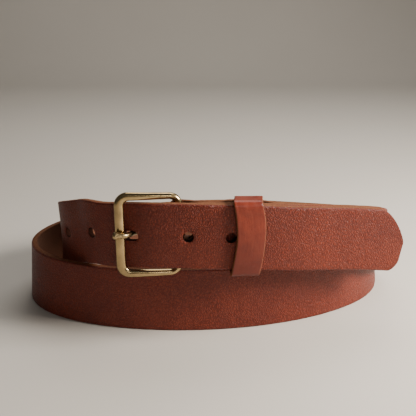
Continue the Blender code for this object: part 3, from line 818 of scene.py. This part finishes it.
def cut_and_bend(name, rows, cutters, holes, materials):
    """One length of strap: built flat, roughened, punched, then bent along the path."""
    sections = []
    for length in rows:
        half = tip_half_width(length)
        skew = TIP_SKEW * min(1.0, max(0.0, 1 - (length - TIP_LENGTH) / TIP_SKEW_REACH))
        section = []
        for up, out in strap_section(half):
            out = near_hole_dip(length, up, out, holes)
            up, out = roughened(length, up, out, half)
            section.append((length + skew * up, up, out))
        sections.append(section)
    obj = new_object(name, *swept(sections), shift=np.zeros(3))
    if cutters:
        boolean(obj, new_object(name + "_punch", *joined(cutters), shift=np.zeros(3)), "DIFFERENCE")
    wear(obj, materials)
    for polygon in obj.data.polygons:
        polygon.material_index = strap_slot(polygon, holes)
    shade_smooth(obj.data)
    work = bmesh.new()
    work.from_mesh(obj.data)
    bmesh.ops.remove_doubles(work, verts=work.verts, dist=1e-6)
    bmesh.ops.triangulate(work, faces=[f for f in work.faces if len(f.verts) > 4])
    spots = np.array([v.co[:] for v in work.verts]) / MM
    for vert, spot in zip(work.verts, (bent(spots) - MIDDLE) * MM):
        vert.co = spot
    turn_out(work)
    work.to_mesh(obj.data)
    work.free()
    set_flat(obj, spots)
    return obj


def adjustment_holes():
    """Middle and half-length of the straight part of each hole in the outer layer."""
    found = []
    for step in HOLES_AT:
        length = TONGUE_HOLE_LENGTH if step == 0 else 2 * HOLE_R
        found.append((TONGUE_HOLE - step, length / 2 - HOLE_R))
    return found


def screw_height(spot):
    """Height of a post: the middle of the front layers."""
    return front_height(spot) + WIDTH / 2


def strap_punches():
    """Cutters for the adjustment holes, the tongue's slot and the posts' holes."""
    cuts = []
    for centre, reach in adjustment_holes():
        cuts.append(hole_cutter((centre, 0), 2 * (HOLE_R + reach), HOLE_R))
    slot = math.pi * FOLD_R + 2 * SLOT_PAST_HEEL
    middle = HEEL + math.pi * FOLD_R / 2
    low = at_length("middle", np.array([middle]))[0, 2]
    cuts.append(hole_cutter((middle, BUCKLE_Z - low), slot, SLOT_HEIGHT / 2))
    for spot in SCREWS_AT:
        for first, last in ((HEEL - 90, HEEL), (FLAP_START, END)):
            centre = length_where(spot, along_arc(), first, last)
            height = screw_height(spot) - at_length("middle", np.array([centre]))[0, 2]
            cuts.append(hole_cutter((centre, height), 2 * SCREW_HOLE_R, SCREW_HOLE_R))
    return cuts


def build_strap(materials):
    """The coil, which holds every hole, and the free end, bent along the same path."""
    rows = strap_rows(SEAM, END)
    coil = cut_and_bend("belt_coil", rows, strap_punches(), adjustment_holes(), materials)
    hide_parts("strap")
    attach(coil, "strap_coil")
    tip_rows = [TIP_LENGTH * (step / TIP_STEPS) ** 1.6 for step in range(1, TIP_STEPS)]
    rows = tip_rows + strap_rows(TIP_LENGTH, SEAM)
    tail = cut_and_bend("belt_free_end", rows, (), (), materials)
    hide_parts("strap_tail")
    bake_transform(tail)


# ---------------------------------------------------------------- buckle


def heel_point():
    """Middle of the heel bar."""
    x, y = on_arc(HEEL_AT, HEEL_DEPTH)
    return np.array([x, y, BUCKLE_Z])


def frame_outline(span):
    """Centre line of the frame in its own plane, clockwise from the top of the front bar."""
    top = FRAME_HEIGHT / 2 - SIDE_THICK / 2
    r = FRAME_CORNER
    corners = (
        (r, top - r, 180, (span - r, top)),
        (span - r, top - r, 90, (span, r - top)),
        (span - r, r - top, 0, (r, -top)),
        (r, r - top, -90, (0, top - r)),
    )
    path = []
    for x, y, first, to in corners:
        for i in range(FRAME_CORNER_STEPS + 1):
            angle = math.radians(first - 90 * i / FRAME_CORNER_STEPS)
            path.append((x + r * math.cos(angle), y + r * math.sin(angle)))
        here = path[-1]
        for i in range(1, FRAME_SIDE_STEPS):
            share = i / FRAME_SIDE_STEPS
            path.append((here[0] + (to[0] - here[0]) * share, here[1] + (to[1] - here[1]) * share))
    return path


def frame_section_size(x, span):
    """Width and depth of the frame's section at this distance from the front bar."""
    share = min(max(x / span, 0), 1)
    side = min(x / FRAME_CORNER, 1) if x < span / 2 else min((span - x) / FRAME_CORNER, 1)
    side = max(side, 0)
    side = side * side * (3 - 2 * side)
    end_size = BAR_WIDE if share < 0.5 else 2 * HEEL_R
    across = end_size + (SIDE_THICK - SIDE_TAPER * share - end_size) * side
    deep = BAR_DEEP + (2 * HEEL_R - BAR_DEEP) * share
    return across, deep


def build_frame(look):
    heel = heel_point()
    front = np.array([*FRONT_BAR, BUCKLE_Z])
    span = math.hypot(heel[0] - front[0], heel[1] - front[1])
    path = frame_outline(span)
    ahead = (heel - front) / span
    depth = np.array([-ahead[1], ahead[0], 0.0])
    up = np.array([0.0, 0.0, 1.0])
    sections = []
    for i, (x, y) in enumerate(path):
        before, after = path[i - 1], path[(i + 1) % len(path)]
        along = np.array([after[0] - before[0], after[1] - before[1]])
        along /= np.linalg.norm(along)
        normal = np.array([-along[1], along[0]])
        across, deep = frame_section_size(x, span)
        bow = -FRAME_BOW * (1 - (2 * x / span - 1) ** 2)
        section = []
        squared = 1.0 if x > span * 0.9 else SIDE_SQUARENESS
        for k in range(BAR_STEPS):
            angle = 2 * math.pi * (k + 0.5) / BAR_STEPS
            c, s = math.cos(angle), math.sin(angle)
            a = math.copysign(abs(c) ** squared, c) * across / 2
            d = math.copysign(abs(s) ** squared, s) * deep / 2
            level = y + normal[1] * a - FRAME_DROP * x / span
            section.append(tuple(front + ahead * (x + normal[0] * a) + up * level + depth * (bow + d)))
        sections.append(section)
    obj = new_object("buckle_frame_fine", *swept(sections, closed=True), [look])
    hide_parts("buckle_frame")
    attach(obj, "frame")


def tongue_line():
    """Smooth middle line of the tongue's rod: x, y, rise, radius."""
    heel = heel_point()
    start = (heel[0] + TONGUE_START[0], heel[1] + TONGUE_START[1], 0.0, TONGUE_R)
    line = np.array((start, *TONGUE_LINE), float)
    knots = np.r_[0, np.cumsum(np.linalg.norm(np.diff(line[:, :2], axis=0), axis=1))]
    return cubic(knots, line, np.r_[np.linspace(0, knots[-2], 90), knots[-1]])


def build_tongue(look):
    """The rod and its ring, joined and smoothed over where they meet."""
    heel = heel_point()
    line = tongue_line()
    ahead = np.gradient(line[:, :2], axis=0)
    ahead /= np.linalg.norm(ahead, axis=1)[:, None]
    sections = []
    for (x, y, rise, radius), (dx, dy) in zip(line, ahead):
        section = []
        for k in range(BAR_STEPS):
            angle = 2 * math.pi * k / BAR_STEPS
            side, up = radius * math.cos(angle), radius * math.sin(angle)
            section.append((x - dy * side, y + dx * side, BUCKLE_Z + rise + up))
        sections.append(section)
    shaft = new_object("tongue_shaft", *swept(sections))
    half, outer = TONGUE_RING_HALF, TONGUE_RING_OUT
    lower = (
        (TONGUE_RING_R, 0.3 - half),
        (TONGUE_RING_R + 0.2, -half),
        (outer - 0.5, -half),
        (outer - 0.12, 0.3 - half),
        (outer, 0.8 - half),
    )
    profile = lower + tuple((r, -z) for r, z in reversed(lower))
    sections = []
    for i in range(TONGUE_RING_STEPS):
        angle = 2 * math.pi * i / TONGUE_RING_STEPS
        c, s = math.cos(angle), math.sin(angle)
        sections.append([(heel[0] + r * c, heel[1] + r * s, heel[2] + z) for r, z in profile])
    obj = new_object("buckle_tongue_fine", *swept(sections, closed=True), [look])
    boolean(obj, shaft, "UNION")
    remesh = obj.modifiers.new("remesh", "REMESH")
    remesh.mode = "VOXEL"
    remesh.voxel_size = TONGUE_VOXEL * MM
    smooth = obj.modifiers.new("smooth", "SMOOTH")
    smooth.iterations = 6
    apply_modifiers(obj)
    wear(obj, [look])
    shade_smooth(obj.data)
    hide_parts("buckle_tongue")
    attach(obj, "tongue")


# ---------------------------------------------------------------- keeper


def keeper_frame():
    """Origin on the arc's face, and the along, deep and up directions at the keeper."""
    angle = KEEPER_AT / ARC_R
    x, y = on_arc(KEEPER_AT, 0)
    level = np.array([math.cos(angle), math.sin(angle), 0.0])
    upright = np.array([0.0, 0.0, 1.0])
    along = level * math.cos(KEEPER_TILT) - upright * math.sin(KEEPER_TILT)
    up = level * math.sin(KEEPER_TILT) + upright * math.cos(KEEPER_TILT)
    deep = np.array([-math.sin(angle), math.cos(angle), 0.0])
    base = np.array([x, y, front_height(KEEPER_AT) + INNER_DROP])
    return base + (upright - up) * WIDTH / 2, along, deep, up


def keeper_path():
    """Middle of the keeper's leather round the strap, and the outward direction, from its back's top."""
    d0, d1 = KEEPER_FRONT, KEEPER_BACK
    z0, z1 = -KEEPER_BELOW, WIDTH + KEEPER_ABOVE
    r = KEEPER_CORNER
    path = []
    corners = (
        (d1 - r, z1 - r, 0, KEEPER_SHORT_STEPS),
        (d0 + r, z1 - r, 90, KEEPER_TALL_STEPS),
        (d0 + r, z0 + r, 180, KEEPER_SHORT_STEPS),
        (d1 - r, z0 + r, 270, KEEPER_TALL_STEPS),
    )
    for index, (cd, cz, first, steps) in enumerate(corners):
        for i in range(KEEPER_CORNER_STEPS + 1):
            angle = math.radians(first + 90 * i / KEEPER_CORNER_STEPS)
            c, s = math.cos(angle), math.sin(angle)
            path.append((cd + r * c, cz + r * s, c, s))
        here = path[-1]
        following = corners[(index + 1) % 4]
        turn = math.radians(following[2])
        to = (following[0] + r * math.cos(turn), following[1] + r * math.sin(turn))
        for i in range(1, steps):
            share = i / steps
            spot = (here[0] + (to[0] - here[0]) * share, here[1] + (to[1] - here[1]) * share)
            path.append((*spot, here[2], here[3]))
    return path


def keeper_section(steps=18):
    """(along, thickness) outline of the keeper's band, rounded at its edges."""
    half, t, r = KEEPER_WIDE / 2, KEEPER_THICK / 2, KEEPER_ROUND
    outline = []
    for i in range(steps + 1):
        outline.append((r - half + (2 * half - 2 * r) * i / steps, t))
    for a, b, first in ((half - r, t - r, 90), (half - r, r - t, 0)):
        for i in range(1, 5):
            angle = math.radians(first - 90 * i / 4)
            outline.append((a + r * math.cos(angle), b + r * math.sin(angle)))
    for i in range(1, steps + 1):
        outline.append((half - r - (2 * half - 2 * r) * i / steps, -t))
    for a, b, first in ((r - half, r - t, -90), (r - half, t - r, 180)):
        for i in range(1, 4 if first == 180 else 5):
            angle = math.radians(first - 90 * i / 4)
            outline.append((a + r * math.cos(angle), b + r * math.sin(angle)))
    return outline


def keeper_creases(height):
    """Shallow cross creases where the keeper has been bent, mostly low on its front."""
    total = 0.0
    for centre, depth, wide in KEEPER_CREASES:
        total += depth * math.exp(-(((height - centre) / wide) ** 2))
    return total


def off_middle(z):
    """Height from mid-strap, as a share of half its width."""
    return (z - WIDTH / 2) / (WIDTH / 2)


def keeper_shift(d, z):
    """How far the keeper stands along the strap from its own straight place: nothing at its back."""
    middle = off_middle(z)
    shift = KEEPER_BOW * (1 - middle * middle) + KEEPER_TOP_LEAN * max(0.0, middle) ** 2 + KEEPER_SHIFT
    return shift * (KEEPER_BACK - d) / (KEEPER_BACK - KEEPER_FRONT)


def keeper_lift(a, t, z):
    """How far the keeper's front stands proud of its straight place."""
    belly = KEEPER_BELLY * max(0.0, 1 - off_middle(z) ** 2)
    crown = KEEPER_CROWN * (1 - (a / (KEEPER_WIDE / 2)) ** 2)
    dent = keeper_creases(z + 0.8 * noise.noise(Vector((a * 0.15, z * 0.2, 2.0)))) if t > 0 else 0.0
    return crown + belly - dent


def build_keeper(look, edge):
    base, along, deep, up = keeper_frame()
    sections, flats = [], []
    travelled = 0.0
    previous = None
    for d, z, nd, nz in keeper_path():
        if previous:
            travelled += math.hypot(d - previous[0], z - previous[1])
        previous = (d, z)
        front = max(0.0, -nd)
        shift = keeper_shift(d, z)
        section = []
        for a, t in keeper_section():
            waver = KEEPER_WAVER * noise.noise(Vector((z * 0.09, d * 0.05, 5.0 + math.copysign(1, a))))
            out = t + keeper_lift(a, t, z) * front
            spot = base + along * (a + shift + waver) + deep * (d + nd * out) + up * (z + nz * t)
            section.append(tuple(spot))
            flats.append((travelled, a, t))
        sections.append(section)
    obj = new_object("keeper_loop_fine", *swept(sections, closed=True), [look, edge])
    set_flat(obj, flats)
    for polygon in obj.data.polygons:
        inmost = min(abs(flats[v][1]) for v in polygon.vertices)
        polygon.material_index = 1 if inmost > KEEPER_WIDE / 2 - KEEPER_EDGE else 0
    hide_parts("keeper")
    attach(obj, "keeper_loop")


# ---------------------------------------------------------------- setting


def build_floor(look):
    """A floor that curves up into a wall behind the belt."""
    profile = [(-FLOOR_HALF, 0.0)]
    for i in range(FLOOR_STEPS + 1):
        angle = math.pi / 2 * i / FLOOR_STEPS
        profile.append((FLOOR_BACK + FLOOR_CURVE * math.sin(angle), FLOOR_CURVE * (1 - math.cos(angle))))
    profile.append((FLOOR_BACK + FLOOR_CURVE, FLOOR_RISE))
    points = [(x, y, z) for y, z in profile for x in (-FLOOR_HALF, FLOOR_HALF)]
    faces = [(2 * i, 2 * i + 1, 2 * i + 3, 2 * i + 2) for i in range(len(profile) - 1)]
    mesh = bpy.data.meshes.new("floor")
    mesh.from_pydata([tuple(np.array(p) * MM) for p in points], [], faces)
    mesh.materials.append(look)
    shade_smooth(mesh)
    linked("floor", mesh)


def soft_light(name, place, target, size, power, colour):
    data = bpy.data.lights.new(name, "AREA")
    data.shape = "RECTANGLE"
    data.size, data.size_y = size[0] * MM, size[1] * MM
    data.energy = power
    data.color = colour
    light = linked(name, data)
    light.location = Vector(place) * MM
    light.rotation_euler = (Vector(target) - Vector(place)).to_track_quat("-Z", "Y").to_euler()


def build_lights():
    for light in LIGHTS:
        soft_light(*light)
    world = bpy.data.worlds.new("studio")
    world.use_nodes = True
    background = world.node_tree.nodes["Background"]
    background.inputs["Color"].default_value = WORLD_COLOUR
    background.inputs["Strength"].default_value = WORLD_STRENGTH
    bpy.context.scene.world = world


def build_camera():
    data = bpy.data.cameras.new("view")
    data.lens = LENS
    data.sensor_width = SENSOR
    data.clip_start = 0.01
    camera = linked("view", data)
    target = Vector(LOOK_AT) - Vector(MIDDLE)
    away = Vector((0, -math.cos(VIEW_DOWN), math.sin(VIEW_DOWN))) * VIEW_DISTANCE
    camera.location = (target + away) * MM
    camera.rotation_euler = (-away).to_track_quat("-Z", "Y").to_euler()
    bpy.context.scene.camera = camera


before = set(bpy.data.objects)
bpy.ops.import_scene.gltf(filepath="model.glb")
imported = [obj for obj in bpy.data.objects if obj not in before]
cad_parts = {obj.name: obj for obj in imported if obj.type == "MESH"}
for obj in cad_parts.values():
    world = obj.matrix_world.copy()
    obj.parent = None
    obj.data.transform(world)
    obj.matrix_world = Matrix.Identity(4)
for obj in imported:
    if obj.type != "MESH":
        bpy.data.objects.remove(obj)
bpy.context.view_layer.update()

grain, edge, flesh = pebbled_leather(), raw_edge(), flesh_side()
build_strap([grain, edge, flesh, hole_wall_painted_shade()])
build_frame(brass("brass_frame", (0.50, 0.345, 0.15), (0.20, 0.13, 0.052), 0.21))
build_tongue(brass("brass_tongue", (0.50, 0.36, 0.17), (0.22, 0.15, 0.07), 0.28))
build_keeper(smooth_leather(), edge)
wear(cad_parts["keeper_staple"], [steel()])
screw_brass = brass("brass_screws", (0.6, 0.47, 0.27), (0.4, 0.3, 0.17), 0.3)
for name in ("screw_post_1", "screw_1", "screw_post_2", "screw_2"):
    wear(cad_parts[name], [screw_brass])
build_floor(floor_look())
build_lights()
build_camera()
